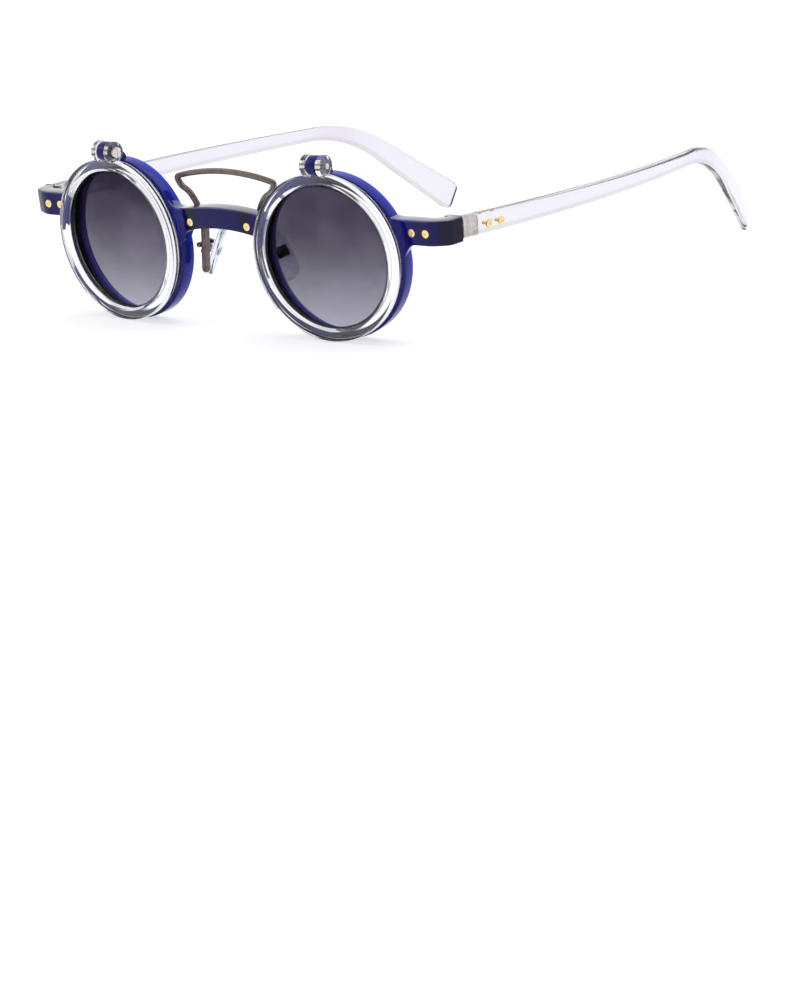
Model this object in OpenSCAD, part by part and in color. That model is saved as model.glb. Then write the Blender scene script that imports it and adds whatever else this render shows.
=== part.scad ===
// Round flip-up sunglasses, open and standing on the two rims and the two temple tips.
// Front faces -Y, temples run to +Y, +X is the wearer's left, +Z is up, millimetres.
// The origin is on the surface it stands on, in the middle of the whole object.

/* [Front] */
// Outside width of one round rim
rim_w = 38; // [31.7:0.5:46]
// Space between the two rims at the nose
rim_gap = 24; // [20:0.5:29]
// Width of the rim seen from the front
rim_face = 1.9; // [1.6:0.1:2.3]
// Thickness of the front sheet
front_t = 3.6; // [3:0.1:4.4]
// Turn of each rim about its own upright centre line, in degrees
wrap = 5; // [3:0.5:7]
// Lean of the whole front, top forward, in degrees
lean = 5; // [3:0.5:8]
// Distance from a rim's outer edge to the corner of its end piece
end_piece_l = 12.2; // [11:0.1:15]
// Height of the end piece
end_piece_h = 5.3; // [4.6:0.1:6.4]
// Height of the end piece's middle above the rim centres
end_piece_z = 6.6; // [5.6:0.1:7.6]
// Height of the bridge at its middle
bridge_h = 5; // [4.2:0.1:6]
// Height of the bridge's middle above the rim centres
bridge_z = 7.4; // [6.4:0.1:8.4]
// Diameter of the rivets
rivet_d = 1.9; // [1.6:0.1:2.3]

/* [Flip-up rings] */
// Clear opening of a ring
ring_aperture = 32.4; // [27:0.2:33]
// Thickness of a ring, front to back
ring_t = 2.8; // [2.4:0.1:3.4]
// Air between a ring and the rim behind it
ring_air = 0.8; // [0.5:0.1:1.2]
// Height of the flip hinge above the top of the rim
flip_z = 2.25; // [1.9:0.05:2.8]
// Diameter of the flip hinge's ears
ear_d = 4.9; // [4.1:0.1:5.2]
// Width of one ear
ear_w = 1.5; // [1.2:0.1:1.8]
// Width of the knuckle between the ears
knuckle_w = 2.4; // [2:0.1:3]
// Diameter of the flip screw's shank
flip_screw_d = 1.3; // [1.1:0.1:1.6]

/* [Metal bridge] */
// Half the width of the top bar
bar_half_w = 14.7; // [12.5:0.1:16]
// Height of the top bar's ends above the rim centres
bar_z = 15.3; // [13.5:0.1:17]
// Rise of the top bar's middle above its ends
bar_rise = 1.9; // [1.2:0.1:2.6]
// Width of the wire, seen from the front
wire_w = 1.3; // [1.1:0.1:1.6]
// Thickness of the metal, front to back
metal_t = 1.2; // [1:0.1:1.5]
// Length of a nose pad
pad_l = 12.8; // [10.5:0.1:14]
// Depth of a nose pad, front to back
pad_d = 6.8; // [5.6:0.1:8]
// Thickness of a nose pad
pad_t = 2.2; // [1.8:0.1:2.6]

/* [Temples] */
// Length of a temple along its curve, from the hinge to the tip
temple_l = 142; // [125:1:155]
// Thickness of a temple at the hinge
temple_t = 3.5; // [3:0.1:4.2]
// Thickness of a temple at its tip
tip_t = 2.7; // [2.2:0.1:3]
// Height of a temple at the hinge
temple_h = 4.9; // [4.2:0.1:5.9]
// Height of a temple at the start of its bend
waist_h = 3.4; // [2.9:0.1:4.1]
// Height of the dropped tip
tip_h = 7.2; // [6:0.1:8.6]
// Angle of the ear bend, in degrees
bend = 37; // [33:1:42]
// Radius of the ear bend
bend_r = 35.5; // [30:0.5:42]
// Angle at which a temple leaves the hinge outwards, in degrees
splay = 7.8; // [5:0.1:9]
// Radius of a temple's outer face, seen from above
bow_r = 278; // [250:1:340]
// Diameter of the temple hinge's knuckles
barrel_d = 2.6; // [2.2:0.1:3]

/* [Hidden] */
$fn = 96;
LEFT = 1;
RIGHT = -1;

// Clearances: a piece let into another, a turning fit, and cheeks beside what turns between them
seat = 0.02;
running = 0.04;
side_play = 0.15;

// Rim and base lens, radii from the rim's centre and depths from the front of the rim
rim_r = rim_w / 2;
rim_x = (rim_w + rim_gap) / 2;
rim_in = rim_r - rim_face;
rim_edge = 0.4;
rim_back_edge = 0.8;
lens_y = front_t / 2;
lens_t = 1.2;
lens_r = rim_in + 0.6;

// Flip ring: raised enough for the rims, and not the rings, to carry the leaning front
ring_r = rim_r + 0.15;
ring_z = 0.23 + (ring_air + ring_t) * tan(lean);
ring_in = ring_aperture / 2;
ring_back = -ring_air;
ring_front = ring_back - ring_t;
ring_mid = (ring_front + ring_back) / 2;
tint_t = 1;
tint_r = ring_in + 0.65;
ear_r = ear_d / 2;
axis_z = rim_r + flip_z;
ear_x = knuckle_w / 2 + side_play;
ear_out = ear_x + ear_w;
screw_head_r = 1.25;
screw_head_t = 0.6;
slot_w = 0.35;
slot_d = 0.25;

// Bridge: its front is curved about an upright axis and meets the rims' inner edges
bridge_front = -2.4;
bridge_back = 1.6;
bridge_reach = 13;
bridge_sag = bridge_reach * tan(wrap) * 0.7;
bridge_curve = (bridge_reach * bridge_reach + bridge_sag * bridge_sag) / (2 * bridge_sag);
bridge_top_r = 60;
bridge_under_r = 42;
bridge_rivet_x = 8.5;
bridge_rivet_z = bridge_z - 1.5;

// End piece, seen from above: flat to the bevel, then back to the corner and along the side
rim_out_y = rim_r * sin(wrap);
end_front = rim_out_y;
corner_x = rim_x + rim_r + end_piece_l;
corner_y = end_front + 2.4;
bevel_x = corner_x - 4.2;
end_back = end_front + front_t;
end_rivet_x = [corner_x - 9.5, corner_x - 5.7];
rivet_r = rivet_d / 2;
rivet_dome = 0.12;

// Temple hinge: an upright axis just inside the end piece's corner
hinge_x = corner_x - 3.7;
hinge_y = corner_y + front_t + 0.2;
joint_air = 0.08;
joint_spare = 0.6;
barrel_r = barrel_d / 2;
pin_r = 0.6;
leaf_t = 1;
leaf_h = 3.6;
knuckle_h = 1.3;
knuckle_air = 0.06;
pin_head_r = 1.05;
pin_head_t = 0.5;
temple_out = 2.6;
leaf_l = 6.4;
leaf_block_l = 5.4;
leaf_block_t = 1.1;
temple_rivet_v = [8.1, 12];
temple_rivet_drop = 0.3;

// Heights: the rims' lower edges rest on z = 0, and so do the tips
rest_z = rim_r * cos(lean) - rim_edge * sin(lean);
hinge_z = rest_z + end_piece_z * cos(lean) + hinge_y * sin(lean);
hinge_front_y = hinge_y * cos(lean) - end_piece_z * sin(lean);
tip_cut = 13;
tip_reach = tip_h / 2 / cos(tip_cut) * cos(bend - tip_cut);
ear_l = (hinge_z - bend_r * (1 - cos(bend)) - tip_reach) / sin(bend);
arc_l = bend_r * bend * PI / 180;
straight_l = temple_l - arc_l - ear_l;

// Depth of the whole object: from the flip hinge's ears to the upper corner of the tips
front_edge_y = ring_mid * cos(lean) - axis_z * sin(lean) - ear_r;
tip_y = hinge_front_y + straight_l + bend_r * sin(bend) + ear_l * cos(bend)
    + tip_h / 2 / cos(tip_cut) * sin(bend - tip_cut);
middle_y = (front_edge_y + tip_y) / 2;

// Pad bars in front of the nose pads: middle of a bar and its outward lean going down
metal_front = bridge_back;
bar_x = 8.67;
bar_mid_z = -1.2;
bar_tilt = 7.9;
bar_w = 1.9;
bar_end = -6;

// Nose pads: centre behind the bar, bottom turned outwards, back edge turned outwards
pad_x = 9.2;
pad_z = -2.9;
pad_tilt = 28;
pad_turn = 26;
pad_air = 0.3;
pad_y = metal_front + metal_t + pad_air + pad_d / 2 * cos(pad_turn) + pad_t / 2 * sin(pad_turn);

// Pad mounting, in the pad's frame: stem, pin and the bracket's cheeks on the pad's outer face
pad_face = pad_t / 2;
cheek_x = pad_face + 0.35;
cheek_t = 0.65;
cheek_h = 2.6;
stem_t = 1.5;
pad_pin_r = 0.4;
pad_axis_x = cheek_x + 0.5;
stem_r = 0.85;
back_plate_x = pad_axis_x + stem_r + side_play;
back_plate_t = 0.5;
arm_r = 0.65;
arm_start = [bar_x + bar_w / 2 + 0.25, metal_front + metal_t / 2, -0.65];

// Outline of the metal bridge's leg, from the top bar's end down to the plate behind the bridge
leg = [
    [bar_half_w, bar_z], [bar_half_w - 1.15, bar_z - 2.1], [bar_half_w - 3.4, bar_z - 3.4],
    [bar_half_w - 4.75, bar_z - 5.3], [bridge_rivet_x + 0.6, bar_z - 6.9]
];

// Copies a +X piece to the wanted side
module on_side(side) {
    mirror([side < 0 ? 1 : 0, 0, 0]) children();
}

// Frame of the leaning front, whose y = 0, z = 0 is at the rims' centres
module in_front() {
    translate([0, -middle_y, rest_z]) rotate([lean, 0, 0]) children();
}

// Frame of one rim, turned back by the wrap
module at_rim() {
    translate([rim_x, 0, 0]) rotate([0, 0, wrap]) children();
}

// Turns a profile of [radius, depth] points about the rim's axis
module turned(profile) {
    rotate([-90, 0, 0]) rotate_extrude($fn = 180) polygon(profile);
}

// A round bar along x, centred on x = 0
module x_bar(r, l) {
    rotate([0, 90, 0]) cylinder(r = r, h = l, center = true);
}

// A sheet of thickness t whose outline is drawn in x and z and whose front is at y
module sheet(y, t) {
    translate([0, y + t, 0]) rotate([90, 0, 0]) linear_extrude(height = t) children();
}

// A flat line of width w through a list of points, with round joints and ends
module line_of(points, w) {
    for (i = [0 : len(points) - 1]) {
        translate(points[i]) circle(d = w, $fn = 32);
    }
    for (i = [0 : len(points) - 2]) {
        step = points[i + 1] - points[i];
        translate(points[i]) rotate(atan2(step[1], step[0])) translate([0, -w / 2]) square([norm(step), w]);
    }
}

// A round rod from the front face of the sheet towards the back
module rod(r, y0, y1) {
    translate([0, y0, 0]) rotate([-90, 0, 0]) cylinder(r = r, h = y1 - y0, $fn = 48);
}

// Depth of the bridge's curved front at the distance x from the middle
function bridge_face_y(x) = bridge_front + bridge_curve - sqrt(bridge_curve * bridge_curve - x * x);

module rim_solid() {
    turned([
        [rim_in, rim_edge], [rim_in + 0.3, 0], [rim_r - rim_edge, 0], [rim_r, rim_edge],
        [rim_r, front_t - rim_back_edge], [rim_r - rim_back_edge, front_t],
        [rim_in + 0.8, front_t], [rim_in + 0.6, front_t - 0.2], [rim_in, lens_y + lens_t],
    ]);
}

// Groove that holds the base lens, a V turned about the rim's axis
module lens_groove() {
    turned([[rim_in - 1, lens_y - lens_t / 2 - seat], [rim_in, lens_y - lens_t / 2 - seat],
        [lens_r + seat, lens_y], [rim_in, lens_y + lens_t / 2 + seat], [rim_in - 1, lens_y + lens_t / 2 + seat]]);
}

// Knuckle over the rim, between the ears: a round head and a foot on the rim behind the flip ring
module flip_knuckle() {
    intersection() {
        union() {
            translate([0, ring_mid, axis_z]) x_bar(ear_r - 0.1, knuckle_w);
            rotate([90, 0, 90]) translate([0, 0, -knuckle_w / 2]) linear_extrude(height = knuckle_w)
                polygon([
                    [ring_mid, axis_z], [ring_mid + 1.2, axis_z - 1.5], [ring_back + 0.35, axis_z - 2],
                    [ring_back + 0.35, rim_r - 0.6], [front_t - 1, rim_r - 0.6], [front_t - 1, rim_r + 0.5],
                    [ring_mid + 1.9, axis_z + 1.35]
                ]);
        }
        translate([0, 0, axis_z]) cube([knuckle_w, 12, 12], center = true);
    }
}

// Arched bridge between the rims, as a front view: arched top and under edge
module bridge_outline() {
    reach = rim_gap / 2 + 2.6;
    top = bridge_z + bridge_h / 2;
    under = bridge_z - bridge_h / 2;
    difference() {
        translate([-reach, under - 3]) square([2 * reach, top - under + 3]);
        translate([0, under - bridge_under_r]) circle(r = bridge_under_r, $fn = 240);
        difference() {
            translate([-reach, under]) square([2 * reach, bridge_h + 1]);
            translate([0, top - bridge_top_r]) circle(r = bridge_top_r, $fn = 240);
        }
    }
}

module bridge_solid() {
    intersection() {
        sheet(bridge_front - 1, bridge_back - bridge_front + 1) bridge_outline();
        translate([0, bridge_front + bridge_curve, 0])
            cylinder(r = bridge_curve, h = 80, center = true, $fn = 360);
    }
}

// End piece seen from above, from the rim's outer side to the joint with the temple
module end_piece_plan() {
    side_x = corner_x + (hinge_y - corner_y) * tan(splay);
    inner_x = side_x - temple_t;
    polygon([
        [rim_x + rim_r - 2.6, end_front + 0.25], [rim_x + rim_r + 1, end_front], [bevel_x, end_front + 0.1],
        [corner_x - 0.5, corner_y - 0.45], [corner_x, corner_y + 0.1],
        [side_x + joint_spare * tan(splay), hinge_y + joint_spare], [inner_x, hinge_y + joint_spare],
        [inner_x - 0.3, end_back + 1], [inner_x - 1.3, end_back],
        [rim_x + rim_r - 2.6, end_back - 0.25]
    ]);
}

module end_piece_solid() {
    low = end_piece_z - end_piece_h / 2;
    translate([0, 0, low]) linear_extrude(height = end_piece_h) end_piece_plan();
}

// Fillets where the end piece runs into the rim, above and below
module end_fillets() {
    top = end_piece_z + end_piece_h / 2;
    low = end_piece_z - end_piece_h / 2;
    x = rim_r - 1;
    at_rim() sheet(0.1, front_t - 0.9) {
        polygon([[x - 1.9, top - 1], [x - 2.4, top + 1.9], [x - 0.7, top + 0.5], [x + 2, top - 0.1], [x + 2, top - 1]]);
        polygon([[x - 0.5, low + 1], [x + 0.9, low - 2.1], [x + 1.4, low - 0.7], [x + 2.6, low + 0.1], [x + 2.6, low + 1]]);
    }
}

// Upright cylinder about the temple hinge, in the frame of the standing object
module at_hinge() {
    translate([hinge_x, hinge_front_y - middle_y, hinge_z]) children();
}

// Notch that lets the temple hinge's knuckles turn, through end piece and temple alike
module barrel_notch() {
    at_hinge() cylinder(r = barrel_r + side_play, h = 30, center = true);
}

// Holes of the two rivets in one end piece
module end_rivets(r, front, back) {
    for (x = end_rivet_x) {
        translate([x, 0, end_piece_z - 0.2]) rod(r, front, back);
    }
}

module half_front() {
    difference() {
        in_front() difference() {
            union() {
                at_rim() {
                    rim_solid();
                    flip_knuckle();
                }
                end_piece_solid();
                end_fillets();
            }
            at_rim() {
                lens_groove();
                rotate([-90, 0, 0]) cylinder(r = rim_in, h = front_t);
                translate([0, ring_mid, axis_z]) x_bar(flip_screw_d / 2 + running, knuckle_w + 1);
            }
            end_rivets(rivet_r + seat, 0, end_back + 1);
        }
        barrel_notch();
        at_splay() translate([-2, 0, -10]) cube([12, 6, 20]);
    }
}

module front_frame() {
    color("#28265f") {
        half_front();
        mirror([1, 0, 0]) half_front();
        in_front() difference() {
            bridge_solid();
            for (side = [LEFT, RIGHT]) {
                on_side(side) at_rim() rotate([-90, 0, 0]) cylinder(r = rim_r - 0.7, h = 20, center = true);
                translate([side * bridge_rivet_x, 0, bridge_rivet_z])
                    rod(rivet_r + seat, bridge_front - 1, bridge_back + 1);
            }
        }
    }
}

module base_lens(side) {
    color("#e8eef2") on_side(side) in_front() at_rim() turned([
        [0, lens_y - lens_t / 2], [rim_in, lens_y - lens_t / 2], [lens_r, lens_y],
        [rim_in, lens_y + lens_t / 2], [0, lens_y + lens_t / 2]
    ]);
}

// One ear of the flip ring with its web down to the ring
module ring_ear() {
    translate([ear_x + ear_w / 2, ring_mid, axis_z]) x_bar(ear_r, ear_w);
    translate([ear_x, ring_front + 0.3, ring_r - 1.5]) cube([ear_w, ring_t - 0.6, axis_z - ring_r + 1.5]);
}

module flip_ring(side) {
    color("#dfe6ea") on_side(side) in_front() at_rim() difference() {
        union() {
            translate([0, 0, ring_z]) turned([
                [ring_in, ring_mid - 0.6], [ring_in + 0.7, ring_front], [ring_r - 0.25, ring_front],
                [ring_r, ring_front + 0.25], [ring_r - 0.1, ring_mid], [ring_r - 0.6, ring_back],
                [ring_in + 0.6, ring_back], [ring_in, ring_mid + 0.6]
            ]);
            ring_ear();
            mirror([1, 0, 0]) ring_ear();
        }
        translate([0, 0, ring_z]) turned([
            [ring_in - 1, ring_mid - tint_t / 2 - seat], [ring_in, ring_mid - tint_t / 2 - seat],
            [tint_r + seat, ring_mid],
            [ring_in, ring_mid + tint_t / 2 + seat], [ring_in - 1, ring_mid + tint_t / 2 + seat]
        ]);
        translate([0, ring_mid, axis_z]) {
            x_bar(ear_r + side_play, knuckle_w + 2 * side_play);
            x_bar(flip_screw_d / 2 + seat, 2 * ear_out + 1);
        }
    }
}

module flip_lens(side) {
    color("#5c5568") on_side(side) in_front() at_rim() translate([0, 0, ring_z]) turned([
        [0, ring_mid - tint_t / 2], [ring_in, ring_mid - tint_t / 2], [tint_r, ring_mid],
        [ring_in, ring_mid + tint_t / 2], [0, ring_mid + tint_t / 2]
    ]);
}

// Screw through the ears: its crossed head is on the nose side
module flip_screw(side) {
    color("#b9a58c") on_side(side) in_front() at_rim() translate([0, ring_mid, axis_z]) difference() {
        union() {
            x_bar(flip_screw_d / 2, 2 * ear_out + 0.6);
            translate([-ear_out - seat - screw_head_t / 2, 0, 0]) x_bar(screw_head_r, screw_head_t);
        }
        translate([-ear_out - seat - screw_head_t, 0, 0]) {
            cube([2 * slot_d, slot_w, 4], center = true);
            cube([2 * slot_d, 4, slot_w], center = true);
        }
    }
}

// Frame of one pad bar, which leans outwards going down
module at_bar() {
    translate([bar_x, metal_front, bar_mid_z]) rotate([0, -bar_tilt, 0]) children();
}

// Frame of one nose pad: x is its thickness, y its depth and z its length
module at_pad() {
    translate([pad_x, pad_y, pad_z]) rotate([0, -pad_tilt, 0]) rotate([0, 0, -pad_turn]) children();
}

// Top bar as a ring sector of wire width, from end to end
module top_bar() {
    r = (bar_half_w * bar_half_w + bar_rise * bar_rise) / (2 * bar_rise);
    centre_z = bar_z + bar_rise - r;
    intersection() {
        translate([0, centre_z]) difference() {
            circle(r = r + wire_w / 2, $fn = 360);
            circle(r = r - wire_w / 2, $fn = 360);
        }
        translate([-bar_half_w, bar_z - wire_w]) square([2 * bar_half_w, bar_rise + 2 * wire_w]);
    }
}

module metal_bridge() {
    plate_low = bridge_rivet_z - 1.5;
    plate_top = bridge_rivet_z + 2.3;
    color("#5d5048") in_front() difference() {
        union() {
            sheet(metal_front, metal_t) {
                top_bar();
                for (side = [LEFT, RIGHT]) {
                    on_side(side) {
                        line_of(leg, wire_w);
                        polygon([
                            [bridge_rivet_x - 1.7, plate_low], [bridge_rivet_x + 1.3, plate_low],
                            [bridge_rivet_x + 1.6, plate_top], [bridge_rivet_x - 0.9, plate_top]
                        ]);
                    }
                }
            }
            for (side = [LEFT, RIGHT]) {
                on_side(side) at_bar() sheet(0, metal_t)
                    line_of([[0, plate_low + 1.6 - bar_mid_z], [0, bar_end + bar_w / 2]], bar_w);
            }
        }
        for (side = [LEFT, RIGHT]) {
            translate([side * bridge_rivet_x, 0, bridge_rivet_z]) rod(rivet_r + seat, 0, 9);
        }
    }
}

// Point of the pad's frame in the frame of the leaning front
function pad_point(x, y, z) =
    let (x1 = x * cos(pad_turn) + y * sin(pad_turn), y1 = -x * sin(pad_turn) + y * cos(pad_turn))
        [pad_x + x1 * cos(pad_tilt) - z * sin(pad_tilt), pad_y + y1, pad_z + x1 * sin(pad_tilt) + z * cos(pad_tilt)];

// A round rod between two points, with a ball at the first
module arm_rod(a, b) {
    along = b - a;
    translate(a) rotate([0, acos(along[2] / norm(along)), atan2(along[1], along[0])])
        cylinder(r = arm_r, h = norm(along), $fn = 48);
    translate(a) sphere(r = arm_r, $fn = 48);
}

// Pad bracket: an arm back from the bar, and two cheeks on a back plate that hold the pad's stem
module pad_arm(side) {
    arm_end = pad_point(back_plate_x + back_plate_t / 2 + 0.35, -0.6, 0.5);
    half = stem_t / 2 + side_play + cheek_t;
    color("#4c423d") on_side(side) in_front() difference() {
        union() {
            at_pad() {
                for (end = [-1, 1]) {
                    translate([cheek_x, end * (half - cheek_t / 2) - cheek_t / 2, -cheek_h / 2])
                        cube([back_plate_x + back_plate_t - cheek_x, cheek_t, cheek_h]);
                }
                translate([back_plate_x, -half, -cheek_h / 2]) cube([back_plate_t, 2 * half, cheek_h]);
            }
            arm_rod(arm_start + [arm_r, 0, 0], arm_end);
        }
        at_pad() translate([pad_axis_x, 0, 0]) rod(pad_pin_r + seat, -20, 20);
        at_pad() translate([cheek_x - 4, -half + cheek_t, -3]) cube([back_plate_x - cheek_x + 4, 2 * (half - cheek_t), 6]);
    }
}

// Nose pad seen from the side: a long shape with round ends, drawn in y and z
module pad_shape() {
    end_z = (pad_l - pad_d) / 2;
    translate([0, end_z]) circle(d = pad_d, $fn = 120);
    translate([0, -end_z]) circle(d = pad_d, $fn = 120);
    translate([-pad_d / 2, -end_z]) square([pad_d, 2 * end_z]);
}

module nose_pad(side) {
    color("#e4eaee") on_side(side) in_front() at_pad() difference() {
        union() {
            translate([-pad_face, 0, 0]) rotate([90, 0, 90]) linear_extrude(height = pad_t) pad_shape();
            translate([pad_face - 0.3, -stem_t / 2, -stem_r]) cube([pad_axis_x - pad_face + 0.3, stem_t, 2 * stem_r]);
            translate([pad_axis_x, 0, 0]) rotate([90, 0, 0])
                cylinder(r = stem_r, h = stem_t, center = true, $fn = 48);
        }
        translate([pad_axis_x, 0, 0]) rod(pad_pin_r + running, -20, 20);
    }
}

module pad_pin(side) {
    reach = stem_t / 2 + side_play + cheek_t;
    color("#8d8074") on_side(side) in_front() at_pad() translate([pad_axis_x, 0, 0])
        rod(pad_pin_r, -reach, reach);
}

module bridge_rivets() {
    color("#e6c36a") in_front() for (side = [LEFT, RIGHT]) {
        translate([side * bridge_rivet_x, 0, bridge_rivet_z])
            rod(rivet_r, bridge_face_y(bridge_rivet_x) - rivet_dome, metal_front + metal_t + 0.2);
    }
}

module end_piece_rivets() {
    color("#e6c36a") for (side = [LEFT, RIGHT]) {
        on_side(side) in_front() end_rivets(rivet_r, end_front - rivet_dome, end_back + leaf_t + 0.2);
    }
}

// Height span of one hinge knuckle: 0 is the lowest, 1 the temple's, 2 the highest
module knuckle(i) {
    z = (i - 1.5) * (knuckle_h + knuckle_air) + knuckle_air / 2;
    translate([0, 0, z]) cylinder(r = barrel_r, h = knuckle_h, $fn = 64);
}

// Front leaf: a plate on the back of the end piece and the arms to its two knuckles
module front_hinge(side) {
    plate_from = end_rivet_x[0] - 1.9;
    plate_to = hinge_x - barrel_r + 0.6;
    arm_reach = hinge_y - end_back;
    color("#8f8a84") on_side(side) difference() {
        union() {
            in_front() translate([plate_from, end_back + seat, end_piece_z - 0.2 - leaf_h / 2])
                cube([plate_to - plate_from, leaf_t, leaf_h]);
            at_hinge() for (i = [0, 2]) {
                knuckle(i);
                z = (i - 1.5) * (knuckle_h + knuckle_air) + knuckle_air / 2;
                translate([-barrel_r - 1.2, -arm_reach + 0.6, z]) cube([barrel_r + 0.5, arm_reach - 0.6, knuckle_h]);
            }
        }
        in_front() end_rivets(rivet_r + seat, end_back - 1, end_back + leaf_t + 1);
        at_hinge() cylinder(r = pin_r + seat, h = 12, center = true, $fn = 48);
        at_hinge() cylinder(r = barrel_r + side_play, h = knuckle_h + 2 * knuckle_air - 0.001, center = true);
    }
}

// Frame of one temple at its hinge, turned outwards by the splay: y runs along it, x is outwards
module at_splay() {
    at_hinge() rotate([0, 0, -splay]) children();
}

// Solid of the temple's leaf: knuckle, arm, plate and the block let into the temple
module leaf_solid(grow) {
    translate([-0.1 - grow, barrel_r + side_play, -leaf_h / 2 - grow])
        cube([leaf_t + 2 * grow, leaf_l - barrel_r - side_play + grow, leaf_h + 2 * grow]);
    translate([leaf_t - 0.2, barrel_r + side_play, -leaf_h / 2 - grow])
        cube([leaf_block_t + grow, leaf_block_l - barrel_r - side_play + grow, leaf_h + 2 * grow]);
}

module temple_hinge(side) {
    color("#c9c6c2") on_side(side) difference() {
        union() {
            at_hinge() knuckle(1);
            at_splay() leaf_solid(0);
            at_splay() translate([-0.1, 0, -knuckle_h / 2]) cube([leaf_t - 0.3, barrel_r + 1, knuckle_h]);
        }
        at_hinge() cylinder(r = pin_r + running, h = 12, center = true, $fn = 48);
    }
}

module hinge_screw(side) {
    half = 1.5 * (knuckle_h + knuckle_air);
    color("#8d8074") on_side(side) at_hinge() difference() {
        union() {
            translate([0, 0, -half]) cylinder(r = pin_r, h = 2 * half, $fn = 48);
            translate([0, 0, half - knuckle_air / 2 + seat]) cylinder(r = pin_head_r, h = pin_head_t, $fn = 48);
        }
        translate([0, 0, half + pin_head_t]) cube([4, slot_w, 2 * slot_d], center = true);
    }
}

// Temple centre line as seen from the side: [y, z, direction in degrees] at the distance s from the hinge
function side_point(s) =
    s < straight_l ? [s, 0, 0]
    : s < straight_l + arc_l
        ? let (a = (s - straight_l) / bend_r * 180 / PI)
            [straight_l + bend_r * sin(a), -bend_r * (1 - cos(a)), a]
        : let (e = s - straight_l - arc_l)
            [straight_l + bend_r * sin(bend) + e * cos(bend), -bend_r * (1 - cos(bend)) - e * sin(bend), bend];

// Half height of the temple at the distance s
function side_half(s) =
    s < straight_l
        ? (temple_h + (waist_h - temple_h) * s / straight_l) / 2
        : (waist_h + (tip_h - waist_h) * (s - straight_l) / (arc_l + ear_l)) / 2;

function side_edge(s, up) =
    let (p = side_point(s), h = side_half(s) * up)
        [p[0] + h * sin(p[2]), p[1] + h * cos(p[2])];

// End corner of the tip, where the slanted cut meets an edge
function tip_corner(up) =
    let (p = side_point(temple_l), h = tip_h / 2 / cos(tip_cut) * up)
        [p[0] + h * sin(bend - tip_cut), p[1] + h * cos(bend - tip_cut)];

bend_steps = 12;
bend_stations = [for (i = [0 : bend_steps]) straight_l + arc_l * i / bend_steps];

module temple_side() {
    polygon(concat(
        [side_edge(0, 1)],
        [for (s = bend_stations) side_edge(s, 1)],
        [tip_corner(1), tip_corner(-1)],
        [for (i = [bend_steps : -1 : 0]) side_edge(bend_stations[i], -1)],
        [side_edge(0, -1)]
    ));
}

// Upright curved wall that gives the temple its plan: the inner face is a little flatter than the outer
module temple_wall() {
    inner_r = 1 / (1 / bow_r - 2 * (temple_t - tip_t) / (temple_l * temple_l * 0.9));
    difference() {
        translate([temple_out + temple_t / 2 - bow_r, 0, 0])
            cylinder(r = bow_r, h = 90, center = true, $fn = 720);
        translate([temple_out - temple_t / 2 - inner_r, 0, 0])
            cylinder(r = inner_r, h = 92, center = true, $fn = 720);
    }
}

module temple_rivet_rods(r, x0, x1) {
    for (v = temple_rivet_v) {
        at_splay() translate([x0, v, -temple_rivet_drop]) rotate([0, 90, 0]) cylinder(r = r, h = x1 - x0, $fn = 48);
    }
}

module temple(side) {
    color("#eef0f4") on_side(side) difference() {
        intersection() {
            at_hinge() rotate([90, 0, 90]) translate([0, 0, -70]) linear_extrude(height = 140) temple_side();
            at_splay() temple_wall();
        }
        at_splay() translate([-10, -20 + joint_air, -10]) cube([30, 20, 20]);
        at_splay() leaf_solid(seat);
        barrel_notch();
        temple_rivet_rods(rivet_r + seat, -3, 12);
    }
}

module temple_rivets(side) {
    inner = temple_out - temple_t / 2 - rivet_dome - 0.3;
    face = temple_out + temple_t / 2;
    color("#e6c36a") on_side(side) for (v = temple_rivet_v) {
        at_splay() translate([inner, v, -temple_rivet_drop]) rotate([0, 90, 0])
            cylinder(r = rivet_r, h = face - v * v / (2 * bow_r) + rivet_dome - inner, $fn = 48);
    }
}

front_frame();
base_lens(LEFT);  // base_lens_left
base_lens(RIGHT);  // base_lens_right
flip_ring(LEFT);  // flip_ring_left
flip_ring(RIGHT);  // flip_ring_right
flip_lens(LEFT);  // flip_lens_left
flip_lens(RIGHT);  // flip_lens_right
flip_screw(LEFT);  // flip_screw_left
flip_screw(RIGHT);  // flip_screw_right
metal_bridge();
pad_arm(LEFT);  // pad_arm_left
pad_arm(RIGHT);  // pad_arm_right
nose_pad(LEFT);  // nose_pad_left
nose_pad(RIGHT);  // nose_pad_right
pad_pin(LEFT);  // pad_pin_left
pad_pin(RIGHT);  // pad_pin_right
bridge_rivets();
end_piece_rivets();
front_hinge(LEFT);  // front_hinge_left
front_hinge(RIGHT);  // front_hinge_right
temple_hinge(LEFT);  // temple_hinge_left
temple_hinge(RIGHT);  // temple_hinge_right
hinge_screw(LEFT);  // hinge_screw_left
hinge_screw(RIGHT);  // hinge_screw_right
temple(LEFT);  // temple_left
temple(RIGHT);  // temple_right
temple_rivets(LEFT);  // temple_rivets_left
temple_rivets(RIGHT);  // temple_rivets_right
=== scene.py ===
"""Round flip-up sunglasses: the looks of every piece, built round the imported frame.

Shapes are worked out in millimetres, in the frame of the leaning front, of one rim, of one nose pad
or of one temple, and are put in place and turned into metres at the end.
"""

import math

import bmesh
import bpy
import numpy as np
from mathutils import Matrix


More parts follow.
